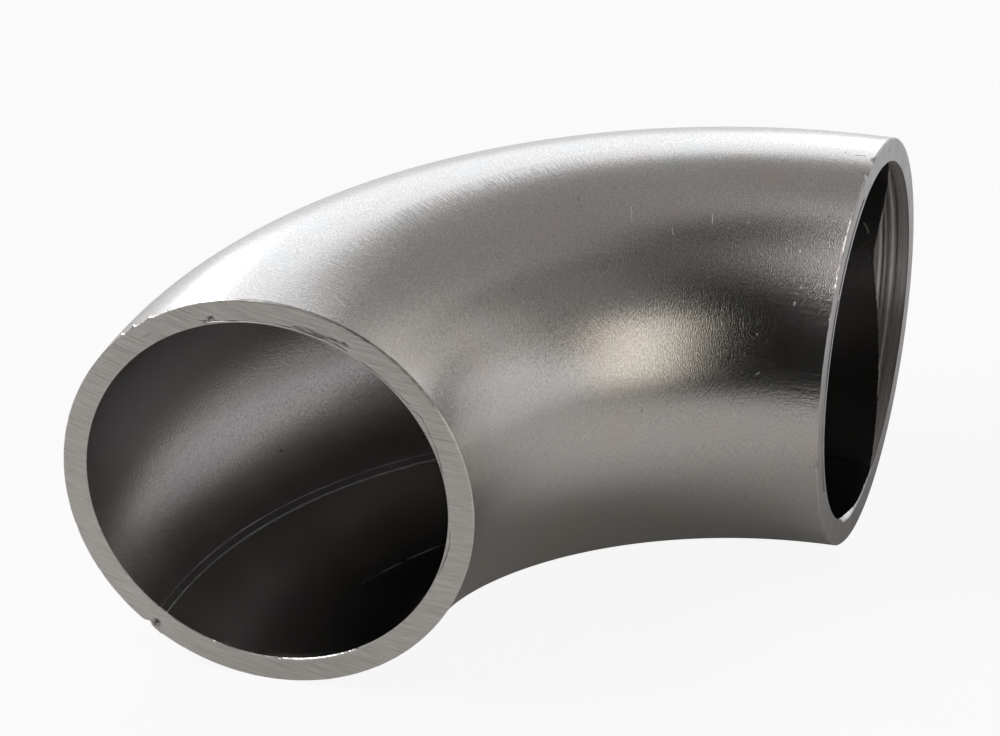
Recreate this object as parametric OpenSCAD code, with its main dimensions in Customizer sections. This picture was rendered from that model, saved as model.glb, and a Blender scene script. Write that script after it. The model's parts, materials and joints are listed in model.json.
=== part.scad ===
// Butt weld pipe elbow, long radius, 90 degrees, bent from a seam-welded tube.
// It lies on its side: the bend is in the XY plane and +Z is up.
// The origin is the centre of the turned end, which faces +X. The sawn end faces -Y.
// Angles round the section run from the outside of the bend (0) over the top (90).

/* [Tube] */
// outside diameter of the tube
tube_d = 48.3; // [30:0.1:70]
// wall thickness, as the mean round the section
wall_t = 2.9; // [1.6:0.1:5]
// how far the bore lies off centre: forming thins the outside of the bend
bore_shift = 0.3; // [0:0.05:0.8]

/* [Bend] */
// radius of the bend, to the middle of the tube
bend_r = 57.15; // [45:0.05:120]
// length cut off at each end, so the part stops just short of a full quarter turn
end_trim = 1.3; // [0.2:0.1:5]

/* [Weld bead in the bore] */
// where the bead runs, as an angle round the section
bead_angle = -55; // [-180:1:180]
// width of the bead on the bore wall
bead_w = 0.95; // [0.5:0.05:3]
// height of the bead over the bore wall
bead_h = 0.12; // [0.05:0.01:0.4]

/* [Turned end] */
// half angle of the shallow taper turned in the mouth
taper_angle = 4.4; // [2:0.1:8]
// how deep from the face the tool went in, just past where the taper runs out
taper_len = 4.6; // [2:0.1:8]
// how far the taper's axis lies off the bore's, towards the outside of the bend
taper_shift = 0.17; // [0:0.01:0.4]
// how much smaller the taper is than the bore, in radius, at the mouth
taper_less = 0.04; // [0:0.01:0.2]
// depths from the face of the tool marks in the taper
mark_depths = [1.7, 2.68, 3.23]; // [0.3:0.01:4]
// width of each tool mark
mark_w = 0.42; // [0.2:0.01:0.6]
// how deep each tool mark is cut
mark_h = 0.06; // [0.02:0.01:0.15]

/* [Edges] */
// bevel on the outer edge of each end
edge_break = 0.2; // [0.05:0.05:0.6]
// depth along the bore of the hand-dressed facet under the turned mouth
dress_depth = 0.7; // [0.2:0.05:1.5]
// how far that facet eats into the end face
dress_rise = 0.35; // [0.1:0.05:0.8]
// first angle round the section of the facet
dress_from = -116; // [-175:1:-100]
// last angle round the section of the facet
dress_to = -73; // [-95:1:0]
// radius of the small nicks in the outer edges
nick_r = 0.45; // [0.2:0.05:1]
// angles round the section of the nicks at the sawn end
sawn_nicks = [-54]; // [-180:1:180]
// angles round the section of the nicks at the turned end
turned_nicks = [97, -170]; // [-180:1:180]

/* [Hidden] */
$fn = 96;
tube_r = tube_d / 2;
bore_r = tube_r - wall_t;
// from the crossing of the two port axes to each face
centre_to_end = bend_r - end_trim;
// the bead is the tip of a round bar sunk in the wall
bead_bar_r = (pow(bead_w / 2, 2) + pow(bead_h, 2)) / (2 * bead_h);
taper_mouth_r = bore_r - taper_less;
taper_slope = tan(taper_angle);
mark_r = (pow(mark_w / 2, 2) + pow(mark_h, 2)) / (2 * mark_h);
// a nick's axis lies a little outside the edge, so that it cuts less than half its width
nick_off = nick_r * 0.35;
nick_len = nick_r * 3;
over = 1;
steel = [0.56, 0.55, 0.53];

// a ring of radius r swept round the bend, with its section moved outwards by shift
module bend_bar(r, shift) {
  translate([end_trim, -bend_r, 0])
    rotate_extrude(angle = 90, start = 90)
      translate([bend_r + shift, 0])
        circle(r = r);
}

// the bead along the welded seam, as a bar inside the wall whose tip stands in the bore
module seam_bar() {
  reach = bore_r + bead_bar_r - bead_h;
  translate([end_trim, -bend_r, 0])
    rotate_extrude(angle = 90, start = 90)
      translate([bend_r + bore_shift + reach * cos(bead_angle), reach * sin(bead_angle)])
        circle(r = bead_bar_r);
}

// the open way through the elbow, with the bead left standing
module passage() {
  difference() {
    bend_bar(bore_r, bore_shift);
    seam_bar();
  }
}

// the space between the two square cuts that end the tube
module between_cuts() {
  reach = bend_r + tube_d;
  translate([-reach, -centre_to_end, -tube_d])
    cube([reach, centre_to_end + tube_d, 2 * tube_d]);
}

// moves a shape drawn round +Z, with its angle 0 at the outside of the bend, to the turned end
module at_turned_end() {
  rotate([90, 0, 90])
    children();
}

// the same for the sawn end, which faces -Y
module at_sawn_end() {
  translate([-centre_to_end, -centre_to_end, 0])
    rotate([90, 0, 0])
      mirror([1, 0, 0])
        children();
}

// the taper turned in the mouth, which meets the bore on the outside of the bend alone
module turned_taper() {
  at_turned_end()
    translate([bore_shift + taper_shift, 0, 0]) {
      translate([0, 0, -taper_len])
        cylinder(
          h = taper_len + over,
          r1 = taper_mouth_r - taper_len * taper_slope,
          r2 = taper_mouth_r + over * taper_slope
        );
      for (depth = mark_depths)
        rotate_extrude()
          translate([taper_mouth_r - depth * taper_slope + mark_h - mark_r, -depth])
            circle(r = mark_r, $fn = 32);
    }
}

// the bevel round the outer edge of an end
module outer_bevel() {
  rotate_extrude()
    polygon([
      [tube_r - edge_break - over, over],
      [tube_r + over, over],
      [tube_r + over, -edge_break - over]
    ]);
}

// the facet dressed by hand on the lower inner edge of the turned end
module dressed_facet() {
  slope = dress_rise / dress_depth;
  at_turned_end()
    translate([bore_shift, 0, 0])
      rotate_extrude(angle = dress_to - dress_from, start = dress_from)
        polygon([
          [bore_r - over, over],
          [bore_r + dress_rise + over * slope, over],
          [bore_r - over * slope, -dress_depth - over],
          [bore_r - over, -dress_depth - over]
        ]);
}

// a small nick across the outer edge of an end, at an angle round the section
module nick(angle) {
  rotate([0, 0, angle])
    translate([tube_r + nick_off, 0, 0])
      rotate([0, -45, 0])
        cylinder(h = nick_len, r = nick_r, center = true);
}

module elbow() {
  color(steel)
    difference() {
      intersection() {
        bend_bar(tube_r, 0);
        between_cuts();
      }
      passage();
      turned_taper();
      dressed_facet();
      at_turned_end()
        outer_bevel();
      at_sawn_end()
        outer_bevel();
      for (angle = sawn_nicks)
        at_sawn_end()
          nick(angle);
      for (angle = turned_nicks)
        at_turned_end()
          nick(angle);
    }
}

elbow();
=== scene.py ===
"""A butt weld elbow, lying on its side on a pale floor under soft studio light.

The elbow is one bent, seam-welded tube. Its sawn end faces -Y, its turned end faces +X, and the
origin is the centre of the turned end's face. The values at the top are in metres, and the mesh
code and the shaders work in millimetres. Angles round the section run from the outside of the
bend (0) over the top (90).
"""

import math

import bpy
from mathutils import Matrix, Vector, noise
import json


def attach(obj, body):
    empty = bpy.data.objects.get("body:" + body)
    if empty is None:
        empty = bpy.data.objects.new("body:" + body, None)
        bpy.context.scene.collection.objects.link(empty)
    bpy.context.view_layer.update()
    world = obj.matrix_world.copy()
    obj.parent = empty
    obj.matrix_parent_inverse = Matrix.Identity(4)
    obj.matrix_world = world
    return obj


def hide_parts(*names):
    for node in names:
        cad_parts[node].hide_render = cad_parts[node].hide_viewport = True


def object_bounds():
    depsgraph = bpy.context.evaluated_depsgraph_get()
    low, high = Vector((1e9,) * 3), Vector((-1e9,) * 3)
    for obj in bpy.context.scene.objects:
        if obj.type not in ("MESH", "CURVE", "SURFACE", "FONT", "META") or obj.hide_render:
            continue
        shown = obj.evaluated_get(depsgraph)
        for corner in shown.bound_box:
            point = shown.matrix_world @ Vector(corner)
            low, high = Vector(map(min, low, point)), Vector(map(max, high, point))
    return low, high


bl_info = {
    "name": "Butt weld elbow",
    "version": (1, 0, 0),
    "blender": (4, 5, 0),
    "location": "3D View > Sidebar > Elbow",
    "description": "Builds a satin steel butt weld elbow and a plain studio round it",
    "category": "Add Mesh",
}

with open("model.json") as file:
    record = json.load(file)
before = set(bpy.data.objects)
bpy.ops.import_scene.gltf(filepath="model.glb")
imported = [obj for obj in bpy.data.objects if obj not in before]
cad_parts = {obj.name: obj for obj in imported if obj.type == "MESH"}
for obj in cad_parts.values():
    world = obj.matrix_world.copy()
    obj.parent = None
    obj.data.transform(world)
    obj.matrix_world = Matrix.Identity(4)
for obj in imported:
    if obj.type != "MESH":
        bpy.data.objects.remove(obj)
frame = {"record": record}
CAD_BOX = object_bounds()
STEEL = next(m for m in frame["record"]["materials"] if m["slot"] == "steel")
MM = 0.001
TO_MM = 1000


# values a user would change


def length_prop(name, description, default):
    """A property in metres."""
    return bpy.props.FloatProperty(
        name=name, description=description, default=default, unit="LENGTH"
    )


def angle_prop(name, description, degrees):
    """A property held in radians and shown in degrees."""
    return bpy.props.FloatProperty(
        name=name,
        description=description,
        default=math.radians(degrees),
        subtype="ANGLE",
        unit="ROTATION",
    )


def share_prop(name, description, default, highest=1):
    """A property that runs up from 0."""
    return bpy.props.FloatProperty(
        name=name, description=description, default=default, subtype="FACTOR", min=0, max=highest
    )


def colour_prop(name, description, default):
    """A property that is a colour."""
    return bpy.props.FloatVectorProperty(
        name=name, description=description, default=default, subtype="COLOR", min=0, max=1
    )


class ElbowSizes(bpy.types.PropertyGroup):
    """Sizes of the tube, its bend and its two ends."""

    tube_d: length_prop("Outside diameter", "Outside diameter of the tube", 0.0483)
    wall: length_prop("Wall", "Mean wall thickness round the section", 0.0029)
    bore_shift: length_prop(
        "Bore off centre", "How far the bore lies towards the outside of the bend", 0.0003
    )
    bore_centred: length_prop(
        "Bore centred", "How much less the bore is off centre by the sawn end", 0.00017
    )
    bend_r: length_prop("Bend radius", "Radius of the bend, to the middle of the tube", 0.05715)
    end_trim: length_prop("End trim", "Length cut off each end, short of the full quarter turn", 0.0013)
    edge_break: length_prop("Edge bevel", "Bevel on the outer edge of each end", 0.0002)
    bead_angle: angle_prop("Bead angle", "Where the weld bead runs in the bore", -55)
    bead_w: length_prop("Bead width", "Width of the weld bead", 0.00095)
    bead_h: length_prop("Bead height", "Height of the weld bead over the bore wall", 0.00012)
    bead_drift: angle_prop(
        "Bead drift", "How far the bead wanders round the section by the turned end", -17.0
    )
    taper: angle_prop("Taper", "Half angle of the shallow taper turned in one mouth", 4.4)
    taper_shift: length_prop(
        "Taper off centre", "How far the taper's axis lies off the bore's", 0.00017
    )
    taper_less: length_prop(
        "Taper undersize", "How much smaller the taper is than the bore at the face", 0.00004
    )


class SteelFinish(bpy.types.PropertyGroup):
    """Colour and texture of the steel."""

    colour: colour_prop("Steel", "Base colour of the steel", STEEL["base_color"])
    bore: colour_prop("Bore", "Base colour of the duller steel in the bore", (0.46, 0.45, 0.44))
    cut: colour_prop(
        "Cut steel", "Base colour of the fresh steel of the two end faces", (0.65, 0.64, 0.615)
    )
    turned: colour_prop(
        "Turned steel", "Base colour of the face cut on the lathe", (0.50, 0.505, 0.51)
    )
    # the mouth's colour is a lighter copy of the turned steel's: painted light on the taper
    mouth: colour_prop(
        "Turned mouth", "Base colour of the taper turned in the mouth", (0.84, 0.81, 0.80)
    )
    skin_rough: share_prop("Skin roughness", "Roughness of the brushed outer skin", 0.24)
    bore_rough: share_prop("Bore roughness", "Roughness of the wall of the bore", 0.24)
    cut_rough: share_prop("Cut roughness", "Roughness of the sawn and turned faces", 0.45)
    grain: share_prop(
        "Grain depth", "Strength of the brushing, the saw marks and the pebbled grain", 1.0, highest=2
    )


class StudioSettings(bpy.types.PropertyGroup):
    """Camera, floor and lamps."""

    camera_at: bpy.props.FloatVectorProperty(
        name="Camera",
        description="Where the camera stands",
        default=(0.14065, -0.66657, 0.36126),
        subtype="TRANSLATION",
        unit="LENGTH",
    )
    camera_turn: bpy.props.FloatVectorProperty(
        name="Camera turn",
        description="Rotation of the camera",
        default=(math.radians(61.7202), math.radians(-0.9957), math.radians(16.0641)),
        subtype="EULER",
        unit="ROTATION",
    )
    lens: bpy.props.FloatProperty(
        name="Lens",
        description="Focal length of the camera, in millimetres",
        default=236.47,
        unit="CAMERA",
    )
    floor_colour: colour_prop("Floor", "Colour of the floor", (0.70, 0.69, 0.68))
    light: share_prop("Light level", "Level of all the lamps together", 1.0, highest=4)


# shader trees as expressions


class Wire:
    """A socket in a node tree. Sums written with it add Math nodes."""

    def __init__(self, tree, socket):
        self.tree = tree
        self.socket = socket

    def __add__(self, other):
        return self.tree.maths("ADD", self, other)

    __radd__ = __add__

    def __sub__(self, other):
        return self.tree.maths("SUBTRACT", self, other)

    def __rsub__(self, other):
        return self.tree.maths("SUBTRACT", other, self)

    def __mul__(self, other):
        return self.tree.maths("MULTIPLY", self, other)

    __rmul__ = __mul__

    def __pow__(self, other):
        return self.tree.maths("POWER", self, other)

    def __rpow__(self, other):
        return self.tree.maths("POWER", other, self)


class Tree:
    """A material's or the world's node tree."""

    def __init__(self, owner):
        owner.use_nodes = True
        self.owner = owner
        self.nodes = owner.node_tree.nodes
        self.links = owner.node_tree.links
        self.nodes.clear()

    def node(self, kind, settings=None, values=None):
        """Adds a node: its settings first, then the values or links of its sockets."""
        made = self.nodes.new(kind)
        for name, value in (settings or {}).items():
            setattr(made, name, value)
        for key, value in (values or {}).items():
            if isinstance(value, Wire):
                self.links.new(value.socket, made.inputs[key])
            else:
                made.inputs[key].default_value = value
        return made

    def out(self, made, key=0):
        return Wire(self, made.outputs[key])

    def maths(self, operation, *values, clamp=False):
        settings = {"operation": operation, "use_clamp": clamp}
        return self.out(self.node("ShaderNodeMath", settings, dict(enumerate(values))))

    def vector(self, operation, *values, key=0, **named):
        values = {**dict(enumerate(values)), **named}
        return self.out(self.node("ShaderNodeVectorMath", {"operation": operation}, values), key)

    def join(self, x, y, z):
        return self.out(self.node("ShaderNodeCombineXYZ", None, {0: x, 1: y, 2: z}))

    def split(self, vector):
        made = self.node("ShaderNodeSeparateXYZ", None, {0: vector})
        return [self.out(made, i) for i in range(3)]

    def mix(self, factor, first, second):
        """A colour between two colours."""
        values = {0: factor, 6: first, 7: second}
        return self.out(self.node("ShaderNodeMix", {"data_type": "RGBA"}, values), 2)

    def mesh_value(self, name):
        """A value stored at the points of the mesh."""
        settings = {"attribute_type": "GEOMETRY", "attribute_name": name}
        return self.out(self.node("ShaderNodeAttribute", settings), "Fac")

    def noise(self, place, scale, detail, rough):
        values = {"Vector": place, "Scale": scale, "Detail": detail, "Roughness": rough}
        return self.out(self.node("ShaderNodeTexNoise", None, values))

    def grain(self, place, waves, detail=2, rough=0.6):
        """Noise with its own number of waves to a millimetre in each direction."""
        stretched = self.join(*(part * wave for part, wave in zip(place, waves)))
        return self.noise(stretched, 1, detail, rough)

    def step(self, value, low, high):
        """0 at low and 1 at high, with a smooth change between them. Low may be the greater."""
        settings = {"interpolation_type": "SMOOTHSTEP"}
        values = {"Value": value, "From Min": low, "From Max": high}
        return self.out(self.node("ShaderNodeMapRange", settings, values))

    def bump(self, height, depth_mm):
        values = {"Height": height, "Distance": depth_mm * MM, "Strength": 1.0}
        return self.out(self.node("ShaderNodeBump", None, values))

    def skin(self, colour, rough, normal):
        """The metal surface, joined to the material's output. Gives back the material."""
        values = {"Base Color": colour, "Roughness": rough, "Metallic": 1.0, "Normal": normal}
        made = self.node("ShaderNodeBsdfPrincipled", None, values)
        self.node("ShaderNodeOutputMaterial", None, {"Surface": self.out(made)})
        return self.owner


def rgba(colour, factor=1.0):
    """A colour with its alpha, made darker or lighter by a factor."""
    return (*(c * factor for c in colour[:3]), 1.0)


def place_mm(tree):
    """Place on the part in millimetres, in the part's frame."""
    place = tree.out(tree.node("ShaderNodeTexCoord"), "Object")
    return [value * TO_MM for value in tree.split(place)]


def straight_tube(tree, sizes):
    """Place on the tube in millimetres, as if it were straight: along it, outwards, up."""
    x, y, z = place_mm(tree)
    bend_mm = sizes.bend_r * TO_MM
    x = x - sizes.end_trim * TO_MM
    y = y + bend_mm
    reach = (x * x + y * y) ** 0.5
    turn = tree.maths("ARCTAN2", y, x)
    return turn * bend_mm, reach - bend_mm, z


# the finishes of the steel

# colours of painted glints on smoother places and of painted shade, of bright and dark marks, of the
# painted highlight on the bead's ridges, and of tinted places
GLINT_PAINT = (0.8, 0.8, 0.79, 1)
SHADE_PAINT = (0.05, 0.047, 0.044, 1)
BRIGHT_MARK = (0.95, 0.95, 0.95, 1)
DARK_MARK = (0.06, 0.05, 0.05, 1)
RIDGE_HIGHLIGHT = (0.95, 0.93, 0.92, 1)
WARM_TINT = (0.58, 0.53, 0.50, 1)
COOL_TINT = (0.52, 0.55, 0.56, 1)
# share of a scratch's half width that shows at full strength
SCRATCH_CORE = 0.35


def with_wear_and_painted_light(tree, colour, rough):
    """Colour and roughness with the mesh's wear value: above 0 a smoother place with a painted glint,
    below 0 painted shade.
    """
    wear = tree.mesh_value("wear")
    bright = tree.maths("MAXIMUM", wear, 0.0)
    painted_shade = tree.maths("MAXIMUM", wear * -1.0, 0.0)
    # above 0 the lighter colour is a painted glint, and the lower roughness is the smoother steel
    colour = tree.mix(bright * 0.6, colour, GLINT_PAINT)
    # below 0 the colour is darkened as painted shade in cracks, grooves, creases, pits, nicks and along
    # an edge
    colour = tree.mix(painted_shade * 0.85, colour, SHADE_PAINT)
    return colour, rough - bright * 0.18


def scratch(tree, spot, start, stop, width):
    """1 on a straight scratch between two points of the straight tube, in millimetres."""
    start, stop = Vector(start), Vector(stop)
    run = stop - start
    away = tree.vector("SUBTRACT", spot, tuple(start))
    share = tree.vector("DOT_PRODUCT", away, tuple(run / run.length_squared), key=1)
    share = tree.maths("ADD", share, 0.0, clamp=True)
    nearest = tree.vector("SCALE", tuple(run), Scale=share)
    gap = tree.vector("DISTANCE", away, nearest, key=1)
    return 1 - tree.step(gap, width * SCRATCH_CORE, width)


def marked(tree, spot, marks, shade, rough):
    """Colour and roughness with small bright or dark marks laid over them."""
    for start, stop, width, bright in marks:
        mark = scratch(tree, spot, start, stop, width)
        shade = tree.mix(mark * abs(bright), shade, BRIGHT_MARK if bright > 0 else DARK_MARK)
        rough = rough + mark * (0.25 if bright > 0 else 0.0)
    return shade, rough


# marks on the outer skin, on the straight tube in millimetres: start, end, width, brightness
SKIN_MARKS = (
    ((172.5, -5.9, 23.4), (173.5, -7.4, 23.0), 0.11, 0.7),
    ((174.5, -12.4, 20.7), (176.3, -13.8, 19.8), 0.10, 0.5),
    ((122.6, -9.5, 22.2), (123.4, -11.7, 21.2), 0.08, 0.4),
    ((117.6, -12.7, 20.6), (117.7, -13.4, 20.1), 0.09, 0.35),
    ((111.4, -11.2, 21.4), (111.6, -12.4, 20.7), 0.09, 0.5),
    ((129.2, -7.2, 23.1), (129.4, -7.5, 23.0), 0.25, -0.3),
    ((111.2, -20.8, 12.3), (111.2, -20.9, 12.0), 0.15, 0.9),
    ((98.4, -19.4, 14.4), (98.5, -19.5, 14.2), 0.17, 0.9),
    ((106.3, -12.3, 20.8), (106.3, -12.4, 20.7), 0.12, 0.7),
    ((113.0, -17.6, 16.6), (113.0, -17.6, 16.5), 0.11, 0.35),
    ((100.6, -14.9, 19.0), (100.5, -15.0, 18.9), 0.14, 0.6),
    ((98.4, -15.1, 18.9), (98.3, -15.2, 18.8), 0.15, 0.8),
    ((97.6, -18.2, 15.9), (97.6, -18.3, 15.8), 0.12, 0.5),
    ((104.8, -21.4, 11.2), (104.9, -21.4, 11.1), 0.09, 0.06),
    ((110.7, -22.1, 9.7), (110.7, -22.1, 9.6), 0.12, -0.5),
    ((104.2, -23.1, 7.1), (104.8, -23.1, 6.9), 0.10, 0.12),
    ((127.1, -22.9, 7.6), (127.1, -22.9, 7.5), 0.12, 0.4),
    ((111.7, -23.8, 4.1), (111.7, -23.8, 4.0), 0.14, 0.35),
    ((127.6, -23.9, 3.8), (127.6, -23.9, 3.5), 0.13, -0.9),
    ((132.7, -23.8, 4.3), (132.7, -23.8, 4.1), 0.11, -0.6),
    ((130.4, -2.6, 24.0), (130.2, -2.7, 24.0), 0.13, -0.7),
    ((129.4, -2.5, 24.0), (129.3, -2.6, 24.0), 0.10, -0.3),
    ((94.7, 0.5, 24.2), (94.7, 0.2, 24.2), 0.14, -0.6),
    ((93.4, -0.1, 24.2), (92.4, 0.0, 24.2), 0.20, -0.5),
)
# Spans for the outer skin, in millimetres on the straight tube. The first number of each is where
# the span begins to show, and the second is where it shows in full.
# the inside of the bend
INSIDE_OF_BEND = (-4.0, -18.0)
# belt marks by the turned end
BELT_END = (105.0, 93.0)
# a narrow strip of short strokes over the top: its ends, its height and its squared half width
STRIP_STARTS, STRIP_ENDS = (116.0, 130.0), (158.0, 150.0)
STRIP_TOP, STRIP_WIDE = (15.0, 20.0), (2.0, 0.8)
# where the strip crosses the middle of the tube's top, and how much it and its strokes lean
STRIP_CROSSES, STRIP_OUT, STRIP_LEAN, STROKE_LEAN = 124.0, 0.25, 0.058, 0.13


def brushed_skin(sizes, finish):
    """Satin outer skin: brushed across the bend, pebbled on the inside of it."""
    tree = Tree(bpy.data.materials.new("steel_brushed_skin"))
    along, out, up = place = straight_tube(tree, sizes)
    spot = tree.join(*place)

    hair = tree.grain(place, (4.5, 0.6, 0.6), 3)
    pebble = tree.grain(place, (5.2, 2.6, 2.6))
    speck = tree.grain(place, (6.5, 3.6, 3.6), rough=0.7)
    belt_lines = tree.grain(place, (0.22, 2.6, 2.6))
    cloud = tree.noise(spot, 0.07, 3, 0.5)
    tint = tree.noise(spot, 0.13, 2, 0.5)
    inside = tree.step(out, *INSIDE_OF_BEND)
    belt = tree.step(along, *BELT_END) * inside
    off = out + (along - STRIP_CROSSES) * STRIP_LEAN + STRIP_OUT
    strip = tree.step(off * off, *STRIP_WIDE) * tree.step(up, *STRIP_TOP)
    strip = strip * tree.step(along, *STRIP_STARTS) * tree.step(along, *STRIP_ENDS)
    strokes = tree.grain((along + out * STROKE_LEAN, out, 0.0), (4.2, 0.3, 0))

    rough = finish.skin_rough + (cloud - 0.5) * 0.06 + (hair - 0.5) * 0.06
    height = hair * 0.6 * (1 - inside * 0.6) + pebble * (0.45 + inside * 0.7)
    height = height + (strokes - 0.5) * strip * 1.2 + (belt_lines - 0.5) * belt * 1.2
    tone = tree.step(speck, 0.30, 0.70) * 0.8 + cloud * 0.2
    shade = tree.mix(tone, rgba(finish.colour, 0.78), rgba(finish.colour, 1.22))
    shade = tree.mix(tree.step(tint, 0.5, 0.75) * 0.5, shade, WARM_TINT)
    shade = tree.mix(tree.step(tint, 0.5, 0.25) * 0.4, shade, COOL_TINT)
    dark_stroke = strip * tree.step(strokes, 0.60, 0.42) * 0.34
    shade = tree.mix(dark_stroke, shade, rgba(finish.colour, 0.5))
    shade, rough = marked(tree, spot, SKIN_MARKS, shade, rough)
    shade, rough = with_wear_and_painted_light(tree, shade, rough)
    return tree.skin(shade, rough, tree.bump(height, 0.022 * finish.grain))


# marks on the wall of the bore, told in the same way
BORE_MARKS = (
    ((94.7, 21.0, 4.7), (94.5, 21.1, 4.2), 0.09, 0.5),
    ((94.5, 21.1, 4.2), (94.3, 21.3, 3.4), 0.09, 0.5),
    ((152.5, 16.9, -13.25), (152.4, 16.9, -13.3), 0.22, -0.9),
    ((175.5, 16.0, -14.3), (164.3, 15.8, -14.5), 0.09, 0.03),
)
# painted shade over the lower half of the bore, by height in millimetres
SHADE_UNDER = (-7.0, -17.0)


def bore_wall(sizes, finish):
    """Wall of the bore, finely pebbled, with painted shade darkening its lower half."""
    tree = Tree(bpy.data.materials.new("steel_bore_wall"))
    place = straight_tube(tree, sizes)
    spot = tree.join(*place)
    pebble = tree.noise(spot, 4.2, 2, 0.6)
    fleck = tree.noise(spot, 5.0, 2, 0.7)
    cloud = tree.noise(spot, 0.09, 2, 0.5)
    rough = finish.bore_rough + (cloud - 0.5) * 0.06
    # painted shade darkens the lower half of the bore
    lower_shade = tree.step(place[2], *SHADE_UNDER) * (0.78 + (cloud - 0.5) * 0.4)
    shade = tree.mix(lower_shade, rgba(finish.bore), rgba(finish.bore, 0.09))
    shade = tree.mix(tree.step(fleck, 0.35, 0.72) * 0.42, shade, rgba(finish.bore, 0.2))
    shade, rough = marked(tree, spot, BORE_MARKS, shade, rough)
    shade, rough = with_wear_and_painted_light(tree, shade, rough)
    # a painted highlight lightens the bead's ridges and the draw line, with more roughness to spread it
    ridge_highlight = tree.mesh_value("ridge_highlight")
    shade = tree.mix(ridge_highlight, shade, RIDGE_HIGHLIGHT)
    rough = rough + ridge_highlight * 0.35
    return tree.skin(shade, rough, tree.bump(pebble, 0.018 * finish.grain))


# the saw's arcs across the sawn face: their slope at its middle, and how fast they curve
SAW_SLOPE, SAW_CURVE = 0.21, 0.0033


def sawn_face(sizes, finish):
    """End face cut by a round saw, whose fine marks are wide arcs across it."""
    tree = Tree(bpy.data.materials.new("steel_sawn_face"))
    x, y, z = place_mm(tree)
    across = x + (sizes.bend_r - sizes.end_trim) * TO_MM
    fall = z + across * SAW_SLOPE - across * across * SAW_CURVE
    teeth = tree.grain((across, 0.0, fall), (0.22, 0, 5.2), rough=0.65)
    score = tree.grain((across, 0.0, fall), (0.10, 0, 1.5), rough=0.5)
    cuts = tree.step(tree.grain((across, 4.0, fall), (0.14, 1, 6.0), 1, 0.5), 0.58, 0.78)
    cloud = tree.noise(tree.join(x, y, z), 0.3, 2, 0.5)
    rough = finish.cut_rough + (teeth - 0.5) * 0.15
    tone = tree.step(teeth, 0.28, 0.72) * 0.6 + score * 0.2 + cloud * 0.2
    shade = tree.mix(tone, rgba(finish.cut, 0.76), rgba(finish.cut, 1.22))
    shade = tree.mix(cuts * 0.4, shade, rgba(finish.cut, 0.4))
    shade, rough = with_wear_and_painted_light(tree, shade, rough)
    height = teeth * 0.6 + score * 0.8 - cuts * 0.3
    return tree.skin(shade, rough, tree.bump(height, 0.045 * finish.grain))


# between the mouth and the flat of the turned face, in millimetres from the face
FACE_STARTS = (-0.25, -0.1)


def turned_face(_sizes, finish):
    """Face and mouth cut on a lathe, with fine rings."""
    tree = Tree(bpy.data.materials.new("steel_turned_face"))
    x, y, z = place_mm(tree)
    round_mm = (y * y + z * z) ** 0.5
    rings = tree.grain((0.0, round_mm, 0.0), (0, 3.2, 0))
    feed = tree.grain((x, 0.0, 0.0), (3.6, 0, 0), rough=0.5)
    patchy = tree.grain((x, y, z), (1.2, 0.3, 0.3))
    rough = finish.cut_rough - 0.04 + (rings - 0.5) * 0.1 + (patchy - 0.5) * 0.2
    # the mouth is painted much lighter than the face, though both are turned steel: painted light
    shade = tree.mix(tree.step(x, *FACE_STARTS), rgba(finish.mouth), rgba(finish.turned))
    shade = tree.mix(tree.step(patchy, 0.3, 0.7) * 0.25, shade, rgba(finish.turned, 0.7))
    shade, rough = with_wear_and_painted_light(tree, shade, rough)
    return tree.skin(shade, rough, tree.bump(rings * 0.25 + feed, 0.035 * finish.grain))


# the mesh of the elbow

# Uneven lines: each has its own seed, and its waves to a degree or a millimetre.
UNEVEN = {
    "sawn bevel": (1, 0.5), "turned bevel": (2, 0.5), "facet": (3, 0.6), "edge_shade": (4, 0.7),
    "bead place": (5, 0.6), "bead tremor": (6, 2.1), "low ridge": (7, 0.9), "high ridge": (8, 0.7),
    "draw line": (9, 1.4), "groove depth": (11, 0.5), "ragged lip": (12, 1.6),
    "ragged glint": (13, 1.1), "ragged bite": (14, 1.3), "top bite": (15, 0.9),
    "crack place": (16, 0.8), "crack depth": (17, 0.35), "top glint": (18, 1.0), "lip": (19, 1.3),
}

# Angles are round the section in degrees. Distances on the end faces are in millimetres from
# the inner edge, and depths are in millimetres.
# cracks left by the saw's burr on the sawn face: angle and distance along each
SAWN_CRACKS = (
    ((-177, 0.24), (-173, 0.36), (-170, 0.38), (-165, 0.24), (-160, 0.1)),
    ((68, 0.85), (72, 0.30), (80, 0.16), (92, 0.18))
    + ((99, 0.30), (104, 0.24), (112, 0.38), (116, 0.3)),
    ((120, 0.15), (126, 0.2), (134, 0.22), (138, 0.28), (140.5, 0.55)),
    ((141.2, 0.2), (144.5, 0.68), (150, 0.5), (154, 0.42), (160, 0.2), (164, 0.1)),
)
# the groove beside the burr on the inside of the bend, on the turned face
TURNED_GROOVES = (
    ((-181, 0.65), (-165, 0.6), (-152, 0.6)),
    ((104, 0.6), (120, 0.66), (128, 0.72), (138, 0.8), (139.5, 1.0)),
    ((140.5, 0.5), (142, 0.7), (160, 0.68), (181, 0.65)),
)
# for each of the two: rows over it, its depth, the nearest it comes to the inner edge, rows beyond
SAWN_CRACK_ROWS, SAWN_CRACK_DEPTH = (-0.075, -0.045, 0.045, 0.075), 0.06
SAWN_CRACK_NEAREST, SAWN_FACE_ROWS = 0.14, 11
GROOVE_ROWS, GROOVE_DEPTH = (-0.24, -0.20, 0.36, 0.46), 0.25
GROOVE_NEAREST, TURNED_FACE_ROWS = 0.6, 9
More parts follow.
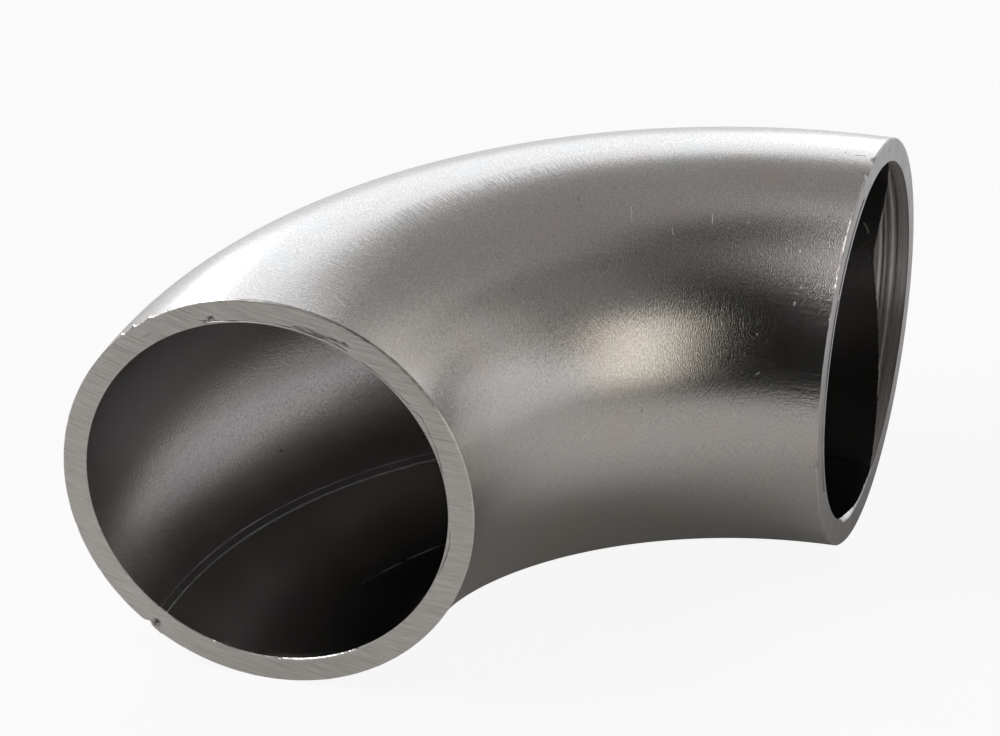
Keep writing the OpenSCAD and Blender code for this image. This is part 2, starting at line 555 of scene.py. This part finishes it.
# burrs and nicks on the outer edges: angle and height or depth, with their half widths in degrees
SAWN_BURRS = ((45.4, 0.26), (49.8, 0.28), (55.5, 0.28), (62, 0.1), (71, 0.12), (-58, 0.1))
TURNED_BURRS = (
    *((108, 0.10), (111.1, 0.12), (114.2, 0.05), (118.4, 0.12), (120.8, 0.12)),
    *((123.7, 0.15), (125.4, 0.16), (127.2, 0.12), (130, 0.05), (133, 0.06)),
    *((135.6, 0.07), (138, 0.09), (146.4, 0.08), (148, 0.07)),
)
SAWN_NICKS = ((-53.9, 0.5), (12, 0.08), (-20, 0.07), (85, 0.1), (128, 0.08))
TURNED_NICKS = ((91.7, 0.30), (99.0, 0.34), (104.0, 0.16), (-170.0, 0.26))
SAWN_BURR_HALF, TURNED_BURR_HALF, SAWN_NICK_HALF, TURNED_NICK_HALF = 0.55, 0.5, 1.0, 1.3
# pits in the sawn face: angle, distance, half length, half width, depth
SAWN_PITS = (
    (72.9, 0.7, 0.4, 0.26, 0.28),
    (71.0, 0.5, 0.3, 0.2, 0.15),
    (-55.6, 1.9, 0.45, 0.35, 0.3),
    (52, 1.3, 0.5, 0.1, 0.08),
)
# longer scores across the sawn face: first angle and distance, last angle and distance, depth
SAWN_SCORES = (
    (98, 0.55, 109, 0.95, 0.10),
    (103, 0.40, 115, 1.10, 0.13),
    (107, 1.25, 113, 0.75, 0.08),
)
SCORE_HALF = 0.11
# a crease across the turned face: the angle and distance of its two ends, half width, depth
CREASE, CREASE_HALF, CREASE_DEPTH = ((70.4, 1.5), (75.8, 0.1)), 0.22, 0.1
# Spans round the section: first and last angle, and the angle over which each fades.
# the sawn end's outer edge, where it has a painted sheen and is smoother, and where it is darkened with
# painted shade
SHEEN_EDGE, SHADED_EDGE = (150, 178, 6), (78, 145, 5)
# the facet dressed by hand in the turned mouth
FACET = (-115.5, -73.5, 1.5)
# the sawn end's inner edge: a wider, smoother bevel with a painted glint, then ragged with painted
# flecks of glint below, and uneven with painted glints on top
GLINT_LIP, RAGGED_LIP = (-123, -91, 6), (-95, -70, 4)
ROUGH_TOP, GLINT_TOP = (66, 128, 4), (42, 150, 6)
# tool marks in the mouth: depth from the face, width, depth of cut
TOOL_MARKS = ((1.7, 0.8, 0.05), (2.68, 0.5, 0.03), (3.23, 0.5, 0.06))
# the line drawn along the bore: angle round the section, then first and last turn in degrees
DRAW_LINE = (-95.3, 143.0, 158.0)
# half widths of the bead's two ridges, as raised and as given a painted highlight
RIDGE_HALF, RIDGE_HIGHLIGHT_HALF = 0.05, 0.055
# how far round the bore the wall's columns follow the bead, and how late it wanders
DRIFT_REACH, DRIFT_LATE = math.radians(70), 2.35
# rows along the skin, the mouth and the bore, and the skin's extra rows beside its ends
SKIN_ROWS, MOUTH_ROWS, BORE_ROWS = 46, 47, 60
CLOSE_ROWS = (0.0, 0.0016, 0.004, 0.009)
# angle between columns, with places that have more: angle, reach to each side, count
COLUMN_STEP = math.radians(0.75)
BEAD_COLUMNS, DRAW_LINE_COLUMNS = (1.8, 28), (1.0, 12)
MOUTH_DEPTH = 4.6
# the finishes, which are the mesh's material slots
OUTER, TURNED, BORE, SAWN = range(4)


def smooth(value):
    """0 below 0 and 1 above 1, with a smooth rise between them."""
    value = min(1.0, max(0.0, value))
    return value * value * (3 - 2 * value)


def window(value, low, high, soft):
    """1 between low and high, falling to 0 over soft on both sides."""
    return smooth((value - low) / soft + 0.5) * smooth((high - value) / soft + 0.5)


def wobble(value, line):
    """A repeatable uneven line between -1 and 1."""
    seed, waves = UNEVEN[line]
    return noise.noise(Vector((value * waves, seed * 7.3, 0.37)))


def spike(value, places, half):
    """The tallest of some small peaks, each given as a place and a height."""
    return max((h * math.exp(-(((value - at) / half) ** 2)) for at, h in places), default=0.0)


def follow(runs, value, rest):
    """Value of the broken line that runs past here, and how strongly it shows."""
    for run in runs:
        if run[0][0] <= value <= run[-1][0]:
            for (a, first), (b, second) in zip(run, run[1:]):
                if value <= b:
                    level = first + (second - first) * (value - a) / (b - a)
                    ends = min(value - run[0][0], run[-1][0] - value)
                    return level, smooth(ends / 1.2)
    return rest, 0.0


class TubeWall:
    """Where the wall's surfaces lie, in millimetres, in the part's frame."""

    def __init__(self, sizes):
        self.bend = sizes.bend_r / MM
        self.trim = sizes.end_trim / MM
        self.tube_r = sizes.tube_d / 2 / MM
        self.bore_r = self.tube_r - sizes.wall / MM
        self.shift = sizes.bore_shift / MM
        self.centred = sizes.bore_centred / MM
        self.bevel = sizes.edge_break / MM
        self.bead_angle = sizes.bead_angle
        self.bead_drift = sizes.bead_drift
        self.bead_w = sizes.bead_w / MM
        self.bead_h = sizes.bead_h / MM
        self.taper_at = self.shift + sizes.taper_shift / MM
        self.taper_r = self.bore_r - sizes.taper_less / MM
        self.slope = math.tan(sizes.taper)

    def place(self, reach, up, turn):
        """The point at a distance from the bend's axis, a height and a turn round that axis."""
        x = reach * math.cos(turn) + self.trim
        y = reach * math.sin(turn) - self.bend
        return (x, y, up)

    def turn_at_sawn(self, reach, depth):
        return math.pi - math.asin((self.trim + depth) / reach)

    def turn_at_turned(self, reach, depth):
        return math.pi / 2 + math.asin((self.trim + depth) / reach)

    def outer(self, angle, share, sawn_bevel, turned_bevel):
        """A point of the outer skin, share 0 at the sawn end's bevel and 1 at the other's."""
        reach = self.bend + self.tube_r * math.cos(angle)
        start = self.turn_at_sawn(reach, sawn_bevel)
        stop = self.turn_at_turned(reach, turned_bevel)
        return self.place(reach, self.tube_r * math.sin(angle), start + (stop - start) * share)

    def across_bead(self, angle, run):
        """Distance round the bore from the bead's middle, or None where it is well clear."""
        off = math.remainder(angle - self.bead_angle, 2 * math.pi) * self.bore_r
        if abs(off) > self.bead_w:
            return None
        return off + (0.03 * wobble(run, "bead place") + 0.02 * wobble(run, "bead tremor"))

    def from_turned_end(self, run):
        """How far along the tube a place is from the turned face."""
        return run - self.bend * math.pi / 2 - self.trim

    def bead(self, angle, run):
        """Height of the weld bead: a low flat strip with a fine ridge along each side."""
        off = self.across_bead(angle, run)
        if off is None:
            return 0.0
        half = self.bead_w / 2
        strip = 0.3 * window(off, -half, half, 0.12)
        low = (0.85 + 0.2 * wobble(run, "low ridge")) * spike(off, ((-half, 1.0),), RIDGE_HALF)
        high = (0.4 + 0.12 * wobble(run, "high ridge")) * spike(off, ((half, 1.0),), RIDGE_HALF)
        return self.bead_h * (strip + low + high) * smooth(self.from_turned_end(run) / 1.6)

    def bead_highlight(self, angle, run):
        """How strong the painted highlight on the bead's two ridges is, the lower one more."""
        off = self.across_bead(angle, run)
        if off is None:
            return 0.0
        half = self.bead_w / 2
        low = smooth(1.4 * spike(off, ((-half, 1.0),), RIDGE_HIGHLIGHT_HALF))
        high = smooth(1.4 * spike(off, ((half, 1.0),), RIDGE_HIGHLIGHT_HALF))
        glint = low * (1.0 + 0.2 * wobble(run, "low ridge"))
        glint += high * (0.22 + 0.1 * wobble(run, "high ridge"))
        return glint * smooth((self.from_turned_end(run) - 20) / 25)

    def drifted(self, angle, turn):
        """The angle of a point of the bore, whose columns follow the bead as it wanders."""
        share = min(1.0, max(0.0, 2 - 2 * turn / math.pi))
        off = abs(math.remainder(angle - self.bead_angle, 2 * math.pi))
        return angle + self.bead_drift * share**DRIFT_LATE * (1 - smooth(off / DRIFT_REACH))

    def draw_line(self, angle, turn):
        """Height of a fine line drawn along the bore by the bending tool."""
        at, first, last = DRAW_LINE
        off = math.remainder(angle - math.radians(at), 2 * math.pi) * self.bore_r
        if abs(off) > 0.5:
            return 0.0
        turn = math.degrees(turn)
        rough = max(0.0, 0.5 + 0.8 * wobble(turn, "draw line"))
        return 0.05 * rough * window(turn, first, last, 2.0) * spike(off, ((0.0, 1.0),), 0.12)

    def bore_at(self, angle, turn):
        """Reach and height of the bore wall, with the bead standing on it."""
        radius = self.bore_r - (self.bead(angle, turn * self.bend) + self.draw_line(angle, turn))
        angle = self.drifted(angle, turn)
        share = min(1.0, max(0.0, 2 * turn / math.pi - 1))
        shift = self.shift - self.centred * share * share
        return self.bend + shift + radius * math.cos(angle), radius * math.sin(angle)

    def bore(self, angle, share, first, last):
        """A point of the bore: share 0 is first deep in the turned end, 1 last in the sawn."""
        start = self.turn_at_turned(self.bore_at(angle, math.pi / 2)[0], first)
        stop = self.turn_at_sawn(self.bore_at(angle, math.pi)[0], last)
        turn = start + (stop - start) * share
        reach, up = self.bore_at(angle, turn)
        if share == 1:
            turn = self.turn_at_sawn(reach, last)
        return self.place(reach, up, turn)

    def tool_cut(self, depth):
        """How far the tool marks cut in below the taper at a depth."""
        cut = 0.0
        for mark, width, deep in TOOL_MARKS:
            off = abs(depth - mark) * 2 / width
            if off < 1:
                cut = max(cut, deep * (1 - off * off))
        return cut

    def mouth(self, angle, depth):
        """A point of the wall in the turned mouth, and whether the taper cut it there."""
        turn = math.pi / 2 + (self.trim + depth) / self.bend
        reach, up = self.bore_at(angle, turn)
        rise = self.bead(angle, turn * self.bend)
        out = math.sqrt(reach**2 - (self.trim + depth) ** 2) - self.bend
        from_axis = out - self.taper_at
        radius = math.hypot(from_axis, up)
        wanted = self.taper_r - depth * self.slope
        cut = wanted > radius
        if cut:
            wanted += self.tool_cut(depth)
            from_axis *= wanted / radius
            up *= wanted / radius
        return (-depth, from_axis + self.taper_at, up), cut and wanted > radius + rise


def section_angles(wall):
    """Angles round the section, closer together over the weld bead and the draw line."""
    angles = []
    fine = ((wall.bead_angle, *BEAD_COLUMNS), (math.radians(DRAW_LINE[0]), *DRAW_LINE_COLUMNS))
    at = wall.bead_angle
    while at < wall.bead_angle + 2 * math.pi - COLUMN_STEP / 2:
        clear = all(
            abs(math.remainder(at - middle, 2 * math.pi)) > math.radians(reach) + COLUMN_STEP / 3
            for middle, reach, _ in fine
        )
        if clear:
            angles.append(math.remainder(at, 2 * math.pi))
        at += COLUMN_STEP
    for middle, reach, count in fine:
        reach = math.radians(reach)
        angles += [middle + reach * (2 * i / count - 1) for i in range(count + 1)]
    return sorted(angles)


def face_row(inner, outer, from_edge):
    """A point of an end face at a distance from its inner edge: outwards and up."""
    run = math.hypot(outer[0] - inner[0], outer[1] - inner[1])
    share = from_edge / run
    return inner[0] + (outer[0] - inner[0]) * share, inner[1] + (outer[1] - inner[1]) * share


def face_rows(crack, offsets, count, width):
    """Distances from the inner edge at which an end face has rows: over a crack, and beyond it."""
    rows = [crack + off for off in offsets]
    return rows, [rows[-1] + (width - rows[-1]) * (i + 1) / count for i in range(count)]


class Outline:
    """The wall's closed outline at one angle: points, finishes, wear with painted glints and painted
    shade, and painted highlights on ridges.
    """

    def __init__(self, wall, angle):
        self.wall = wall
        self.angle = angle
        self.degrees = math.degrees(math.remainder(angle, 2 * math.pi))
        self.cos, self.sin = math.cos(angle), math.sin(angle)
        self.points, self.kinds, self.wear, self.ridge_highlight = [], [], [], []
        self.set_edges()
        self.add_skin()
        self.add_turned_face()
        self.add_mouth()
        self.add_bore()
        self.add_sawn_face()

    def add(self, point, kind, wear=0.0, ridge_highlight=0.0):
        self.points.append(point)
        self.kinds.append(kind)
        self.wear.append(wear)
        self.ridge_highlight.append(ridge_highlight)

    def set_edges(self):
        """Bevels, nicks and burrs of the two outer edges, with their wear, painted glints and painted
        shade, and shape and painted glints of the inner ones.
        """
        at, wall = self.degrees, self.wall
        sawn_nick = spike(at, SAWN_NICKS, SAWN_NICK_HALF)
        turned_nick = spike(at, TURNED_NICKS, TURNED_NICK_HALF)
        self.sawn_bevel = 0.65 * wall.bevel + 0.04 * wobble(at, "sawn bevel") + sawn_nick
        self.turned_bevel = 0.75 * wall.bevel + 0.04 * wobble(at, "turned bevel") + turned_nick
        self.sawn_burr = spike(at, SAWN_BURRS, SAWN_BURR_HALF)
        self.turned_burr = spike(at, TURNED_BURRS, TURNED_BURR_HALF)
        # painted shade darkens one span of the sawn end's outer edge; its burrs get painted glints, and
        # another span a painted sheen
        edge_shade = window(at, *SHADED_EDGE) * (0.75 + 0.5 * wobble(at, "edge_shade"))
        self.sawn_wear = min(1.0, 5 * self.sawn_burr) + 0.3 * window(at, *SHEEN_EDGE)
        self.sawn_wear -= 0.9 * edge_shade
        # the turned end's burrs get painted glints, and its nicks painted shade
        self.turned_wear = min(1.0, 6 * self.turned_burr) - 0.8 * min(1.0, 3 * turned_nick)

        self.at_mouth = wall.drifted(self.angle, math.pi / 2)
        place = math.degrees(math.remainder(self.at_mouth, 2 * math.pi))
        strength = 0.22 + 0.78 * smooth((-93 - place) / 14) + 0.12 * wobble(place, "facet")
        self.dress = window(place, *FACET) * strength
        # where the lip's bevel is wider and gets a painted glint, and where it is ragged
        self.burnish, self.ragged = window(at, *GLINT_LIP), window(at, *RAGGED_LIP)
        self.lip = 0.05 + (0.05 + 0.03 * wobble(at, "lip")) * self.burnish
        self.lip += 0.1 * self.ragged * max(0.0, wobble(at, "ragged lip"))

    def outer_edge(self, inner, bevel, burr):
        """An end face's outer edge, and its width from the inner edge."""
        reach = self.wall.tube_r - bevel * 0.9 + burr
        outer = (reach * self.cos, reach * self.sin)
        return outer, math.hypot(outer[0] - inner[0], outer[1] - inner[1])

    def add_skin(self):
        """The outer skin from the sawn end to the turned one, with a burr at each end."""
        shares = [*CLOSE_ROWS, *(i / SKIN_ROWS for i in range(1, SKIN_ROWS))]
        shares += [1 - share for share in reversed(CLOSE_ROWS)]
        bevels = (self.sawn_bevel, self.turned_bevel)
        points = [self.wall.outer(self.angle, share, *bevels) for share in shares]
        (x, y, z), burr = points[0], self.sawn_burr
        points[0] = (x - burr * self.cos, y, z + burr * self.sin)
        (x, y, z), burr = points[-1], 0.4 * self.turned_burr
        points[-1] = (x, y + burr * self.cos, z + burr * self.sin)
        for point in points:
            self.add(point, OUTER)
        # the outer edges carry their painted glints and painted shade onto the skin's end rows
        self.wear[0] = self.sawn_wear
        self.wear[-2:] = 0.15 * max(0.0, self.turned_wear), self.turned_wear
        self.kinds[-1] = TURNED

    def add_turned_face(self):
        """The turned face, from its outer bevel to its inner edge, with its groove and crease."""
        at = self.degrees
        (_, out, up), _ = self.wall.mouth(self.angle, 0.0)
        rise = 0.03 + 0.28 * self.dress
        inner = (out + rise * math.cos(self.at_mouth), up + rise * math.sin(self.at_mouth))
        outer, width = self.outer_edge(inner, self.turned_bevel, self.turned_burr * 0.3)
        groove, depth = follow(TURNED_GROOVES, at, GROOVE_NEAREST)
        depth *= 0.9 + 0.35 * wobble(at, "groove depth")
        near, far = face_rows(max(groove, GROOVE_NEAREST), GROOVE_ROWS, TURNED_FACE_ROWS, width)

        (first, start), (last, stop) = CREASE
        crease = start + (stop - start) * (at - first) / (last - first)
        shows = window(at, first, last, 1.0)
        for from_edge in reversed(far):
            dent = shows * spike(from_edge, ((crease, 1.0),), CREASE_HALF)
            # a dent in the crease is darkened as painted shade
            wear = self.turned_wear * 0.6 if from_edge == far[-1] else -0.9 * dent
            point = face_row(inner, outer, from_edge)
            self.add((-CREASE_DEPTH * dent, *point), TURNED, wear)
        # the groove's floor is darkened as painted shade, and its rim by the inner edge gets a painted
        # highlight
        bright = 0.9 * depth
        sunk = GROOVE_DEPTH * depth
        floor = ((0.0, 0.0), (sunk, -depth), (sunk, -depth), (0.0, bright))
        for from_edge, (drop, wear) in zip(reversed(near), floor):
            self.add((-drop, *face_row(inner, outer, from_edge)), TURNED, wear)
        # the inner edge carries the groove's painted highlight and the dressed facet's painted glint
        self.add((0.0, *inner), TURNED, max(bright, 0.2 * self.dress))

    def add_mouth(self):
        """The mouth: taper, tool marks and the bare bore beside them."""
        first = 0.04 + 0.52 * self.dress
        for i in range(MOUTH_ROWS):
            depth = first + (MOUTH_DEPTH - first) * i / (MOUTH_ROWS - 1)
            point, cut = self.wall.mouth(self.angle, depth)
            # the facet's first row gets a faint painted glint
            self.add(point, TURNED if cut else BORE, 0.15 * self.dress if i == 0 else 0.0)

    def add_bore(self):
        """The bore, from the end of the mouth back to the lip at the sawn end."""
        wall = self.wall
        for i in range(1, BORE_ROWS + 1):
            point = wall.bore(self.angle, i / BORE_ROWS, MOUTH_DEPTH, self.lip)
            turn = math.atan2(point[1] + wall.bend, point[0] - wall.trim)
            glint = wall.bead_highlight(self.angle, turn * wall.bend)
            # the draw line gets a painted highlight too
            drawn = 0.8 * smooth(wall.draw_line(self.angle, turn) / 0.03)
            self.add(point, BORE, ridge_highlight=max(glint, drawn))
        # painted glints on the lip's last row: the bright bevel below and flecks where it is ragged
        glint = 0.8 * self.ragged * wobble(self.degrees, "ragged glint")
        self.wear[-1] = max(self.burnish, glint)
        self.kinds[-1] = SAWN

    def pit(self, from_edge):
        """Depth of the sawn face's pits and scores at a distance from its inner edge."""
        deepest = 0.0
        for at, middle, long, half, deep in SAWN_PITS:
            run = math.radians(self.degrees - at) * (self.wall.bore_r + middle) / long
            off = (from_edge - middle) / half
            deepest = max(deepest, deep * math.exp(-(run**2) - off**2))
        for first, start, last, stop, deep in SAWN_SCORES:
            middle = start + (stop - start) * (self.degrees - first) / (last - first)
            shows = window(self.degrees, first, last, 2.0)
            deepest = max(deepest, deep * shows * spike(from_edge, ((middle, 1.0),), SCORE_HALF))
        return deepest

    def add_sawn_face(self):
        """The sawn face, from its inner edge to its outer bevel."""
        at, face = self.degrees, self.wall.trim - self.wall.bend
        reach, up = self.wall.bore_at(self.angle, math.pi)
        jag = 0.1 * self.ragged * wobble(at, "ragged bite")
        jag += 0.05 * window(at, *ROUGH_TOP) * wobble(at, "top bite")
        bite = self.lip + 0.02 + jag
        inner = (reach - self.wall.bend + bite * self.cos, up + bite * self.sin)
        outer, width = self.outer_edge(inner, self.sawn_bevel, self.sawn_burr * 0.6)
        crack, depth = follow(SAWN_CRACKS, at, 0.4)
        crack += 0.05 * wobble(at, "crack place")
        depth *= 0.75 + 0.6 * wobble(at, "crack depth")
        crack = max(crack, SAWN_CRACK_NEAREST)
        near, far = face_rows(crack, SAWN_CRACK_ROWS, SAWN_FACE_ROWS, width)

        # painted glints along the sawn face's inner edge: flecks where it is ragged and on top, and the
        # bright bevel below
        ragged = 0.9 * self.ragged * max(0.0, wobble(at, "ragged glint"))
        top = 0.8 * window(at, *GLINT_TOP) * max(0.0, wobble(at, "top glint"))
        # the cracks' edges get a painted highlight, and their floors are darkened as painted shade
        edge = (0.0, 0.25 * depth)
        floor = (SAWN_CRACK_DEPTH * depth, -0.85 * depth)
        rows = [(0.0, (0.0, max(self.burnish, ragged, top)))]
        rows += zip(near, (edge, floor, floor, edge))
        rows += [(from_edge, (0.0, 0.0)) for from_edge in far[:-1]]
        rows.append((far[-1], (0.0, self.sawn_wear * 0.7)))
        for from_edge, (sunk, wear) in rows:
            out, up = face_row(inner, outer, from_edge)
            pit = self.pit(from_edge)
            # pits and scores are darkened as painted shade
            self.add((face - out, face + sunk + pit, up), SAWN, wear - 3.2 * pit)


def elbow_mesh(sizes):
    """The whole wall of the elbow as one closed mesh."""
    wall = TubeWall(sizes)
    columns = [Outline(wall, angle) for angle in section_angles(wall)]
    rows, count = len(columns[0].points), len(columns)
    points = [tuple(c * MM for c in p) for made in columns for p in made.points]
    faces, kinds = [], []
    for i in range(count):
        after = (i + 1) % count
        for j in range(rows):
            below = (j + 1) % rows
            here, beside = i * rows, after * rows
            faces.append((here + j, beside + j, beside + below, here + below))
            kinds.append(max(columns[i].kinds[j], columns[after].kinds[j]))
    mesh = bpy.data.meshes.new("elbow_tube")
    mesh.from_pydata(points, [], faces)
    mesh.polygons.foreach_set("material_index", kinds)
    # the wear value carries painted glints and painted shade, and the ridge value painted highlights
    for name in ("wear", "ridge_highlight"):
        kept = mesh.attributes.new(name, "FLOAT", "POINT")
        kept.data.foreach_set("value", [v for made in columns for v in getattr(made, name)])
    mesh.shade_smooth()
    mesh.set_sharp_from_angle(angle=math.radians(24))
    mesh.update()
    return mesh


# operators


class ELBOW_OT_tube(bpy.types.Operator):
    """Build the bent tube with its bore, bead, turned mouth and cut ends"""

    bl_idname = "elbow.tube"
    bl_label = "Elbow tube"

    def execute(self, context):
        sizes, finish = context.scene.elbow_sizes, context.scene.elbow_finish
        mesh = elbow_mesh(sizes)
        finishes = {OUTER: brushed_skin, TURNED: turned_face, BORE: bore_wall, SAWN: sawn_face}
        for kind in sorted(finishes):
            mesh.materials.append(finishes[kind](sizes, finish))
        tube = bpy.data.objects.new("elbow_tube", mesh)
        context.scene.collection.objects.link(tube)
        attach(tube, "root")
        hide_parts("elbow")
        return {"FINISHED"}


def toward(azimuth, elevation):
    """Unit vector: azimuth 0 is -Y, towards the camera's side, and 90 is +X."""
    a, e = math.radians(azimuth), math.radians(elevation)
    return Vector((math.sin(a) * math.cos(e), -math.cos(a) * math.cos(e), math.sin(e)))


# name, azimuth, elevation, width and height in degrees, radiance, colour
SOFTBOXES = (
    ("softbox_right_front", 59, 19, 28, 33, 1.08, (1.0, 0.93, 0.83)),
    ("softbox_right", 104, 10, 58, 20, 0.60, (0.99, 0.98, 1.0)),
    ("softbox_right_high", 135, 29, 80, 18, 0.42, (1.0, 0.94, 0.89)),
    ("softbox_right_upper", 92, 46, 62, 24, 0.165, (1.0, 0.97, 0.94)),
    ("softbox_back", 166, 10, 48, 20, 0.95, (0.98, 1.0, 1.0)),
    ("softbox_back_high", 177, 59, 60, 50, 0.25, (1.0, 0.95, 0.93)),
    ("softbox_back_left", -163, 17, 34, 34, 1.24, (0.94, 0.96, 1.0)),
    ("softbox_left_back", -140, 10, 20, 20, 1.80, (0.90, 0.93, 1.0)),
    ("softbox_key", -60, 45, 32, 18, 6.50, (1.0, 0.98, 0.98)),
    ("softbox_key_side", -105, 45, 32, 18, 1.60, (1.0, 0.93, 0.95)),
    ("softbox_key_over", -90, 65, 25, 22, 1.20, (1.0, 0.97, 0.97)),
    ("softbox_front_high", -34, 62, 30, 26, 0.42, (1.0, 0.96, 0.95)),
    ("softbox_top", 50, 68, 50, 20, 0.09, (1.0, 0.94, 0.93)),
    ("softbox_zenith", -70, 83, 40, 20, 0.15, (1.0, 0.96, 0.95)),
)
# distance of every lamp from the middle of the elbow, in metres
LAMP_AWAY = 1.2
# watts to a square metre of lamp, for a radiance of 1
RADIANCE_TO_POWER = 4.0
# The floor in metres: half its width, and its front edge. That edge is close to the elbow, because
# the bore and the underside mirror the dark before it.
FLOOR_HALF, FLOOR_FRONT = 2.0, -0.22
# How white the floor shows: to the camera, in the metal, and in the metal well behind the elbow,
# from the first to the second distance in millimetres.
WHITE_SEEN, WHITE_IN_METAL, WHITE_BEHIND, BEHIND = 0.91, 0.03, 0.55, (40.0, 150.0)


class ELBOW_OT_studio(bpy.types.Operator):
    """Set the floor, the lamps, the world and the camera"""

    bl_idname = "elbow.studio"
    bl_label = "Studio"

    def execute(self, context):
        scene = context.scene
        studio = scene.elbow_studio
        self.camera(scene, studio)
        self.floor(scene, studio)
        self.lamps(scene, studio)
        self.world(scene)
        scene.view_settings.view_transform = "Standard"
        return {"FINISHED"}

    def camera(self, scene, studio):
        camera = bpy.data.objects.new("camera", bpy.data.cameras.new("camera"))
        camera.location = studio.camera_at
        camera.rotation_euler = studio.camera_turn
        camera.data.lens = studio.lens
        camera.data.sensor_width = 36
        camera.data.clip_start = 0.05
        camera.data.clip_end = 20
        scene.collection.objects.link(camera)
        scene.camera = camera

    def floor(self, scene, studio):
        low, half, front = CAD_BOX[0][2], FLOOR_HALF, FLOOR_FRONT
        mesh = bpy.data.meshes.new("floor")
        corners = [(-half, front, low), (half, front, low), (half, half, low), (-half, half, low)]
        mesh.from_pydata(corners, [], [(0, 1, 2, 3)])
        mesh.materials.append(self.paper(studio))
        floor = bpy.data.objects.new("floor", mesh)
        scene.collection.objects.link(floor)

    def paper(self, studio):
        """The floor's paper, which shows white and keeps the elbow's soft shadow."""
        tree = Tree(bpy.data.materials.new("floor_paper"))
        rays = tree.node("ShaderNodeLightPath")
        seen = tree.out(rays, "Is Camera Ray")
        glossy, through = tree.out(rays, "Is Glossy Ray"), tree.out(rays, "Is Transmission Ray")
        mirrored = tree.maths("MAXIMUM", glossy, through)
        behind = tree.step(place_mm(tree)[1], *BEHIND)
        in_metal = mirrored * (behind * WHITE_BEHIND + WHITE_IN_METAL)
        white = tree.maths("MAXIMUM", seen * WHITE_SEEN, in_metal)
        lit = tree.node("ShaderNodeBsdfDiffuse", None, {"Color": rgba(studio.floor_colour)})
        glow = tree.node("ShaderNodeEmission", None, {"Color": (1, 1, 1, 1), "Strength": 1.0})
        values = {0: white, 1: tree.out(lit), 2: tree.out(glow)}
        mixed = tree.node("ShaderNodeMixShader", None, values)
        tree.node("ShaderNodeOutputMaterial", None, {"Surface": tree.out(mixed)})
        return tree.owner

    def lamps(self, scene, studio):
        middle = (Vector(CAD_BOX[0]) + Vector(CAD_BOX[1])) / 2
        for name, azimuth, elevation, wide, high, radiance, colour in SOFTBOXES:
            lamp = bpy.data.lights.new(name, "AREA")
            lamp.shape = "RECTANGLE"
            lamp.size = 2 * LAMP_AWAY * math.tan(math.radians(wide / 2))
            lamp.size_y = 2 * LAMP_AWAY * math.tan(math.radians(high / 2))
            lamp.color = colour
            lamp.energy = radiance * studio.light * RADIANCE_TO_POWER * lamp.size * lamp.size_y
            box = bpy.data.objects.new(name, lamp)
            ray = toward(azimuth, elevation)
            box.location = middle + ray * LAMP_AWAY
            box.rotation_euler = ray.to_track_quat("Z", "Y").to_euler()
            box.visible_camera = False
            scene.collection.objects.link(box)

    def world(self, scene):
        """White to the camera and black to everything else, as the lamps alone light the elbow."""
        world = bpy.data.worlds.new("studio")
        scene.world = world
        tree = Tree(world)
        seen = tree.out(tree.node("ShaderNodeLightPath"), "Is Camera Ray")
        shade = tree.mix(seen, (0.0, 0.0, 0.0, 1), (1, 1, 1, 1))
        back = tree.node("ShaderNodeBackground", None, {"Color": shade, "Strength": 1.0})
        tree.node("ShaderNodeOutputWorld", None, {"Surface": tree.out(back)})


class ELBOW_PT_panel(bpy.types.Panel):
    """The elbow's sizes, finish and studio"""

    bl_idname = "ELBOW_PT_panel"
    bl_label = "Butt weld elbow"
    bl_space_type = "VIEW_3D"
    bl_region_type = "UI"
    bl_category = "Elbow"

    def draw(self, context):
        layout = self.layout
        for name in GROUPS:
            group = getattr(context.scene, name)
            box = layout.box()
            for key in group.__annotations__:
                box.prop(group, key)
        layout.operator("elbow.tube")
        layout.operator("elbow.studio")


GROUPS = {
    "elbow_sizes": ElbowSizes,
    "elbow_finish": SteelFinish,
    "elbow_studio": StudioSettings,
}
CLASSES = (*GROUPS.values(), ELBOW_OT_tube, ELBOW_OT_studio, ELBOW_PT_panel)


def register():
    for made in CLASSES:
        bpy.utils.register_class(made)
    for name, group in GROUPS.items():
        setattr(bpy.types.Scene, name, bpy.props.PointerProperty(type=group))


def unregister():
    for name in GROUPS:
        delattr(bpy.types.Scene, name)
    for made in reversed(CLASSES):
        bpy.utils.unregister_class(made)


def main():
    register()
    bpy.ops.elbow.tube()
    bpy.ops.elbow.studio()


if __name__ == "__main__":
    main()
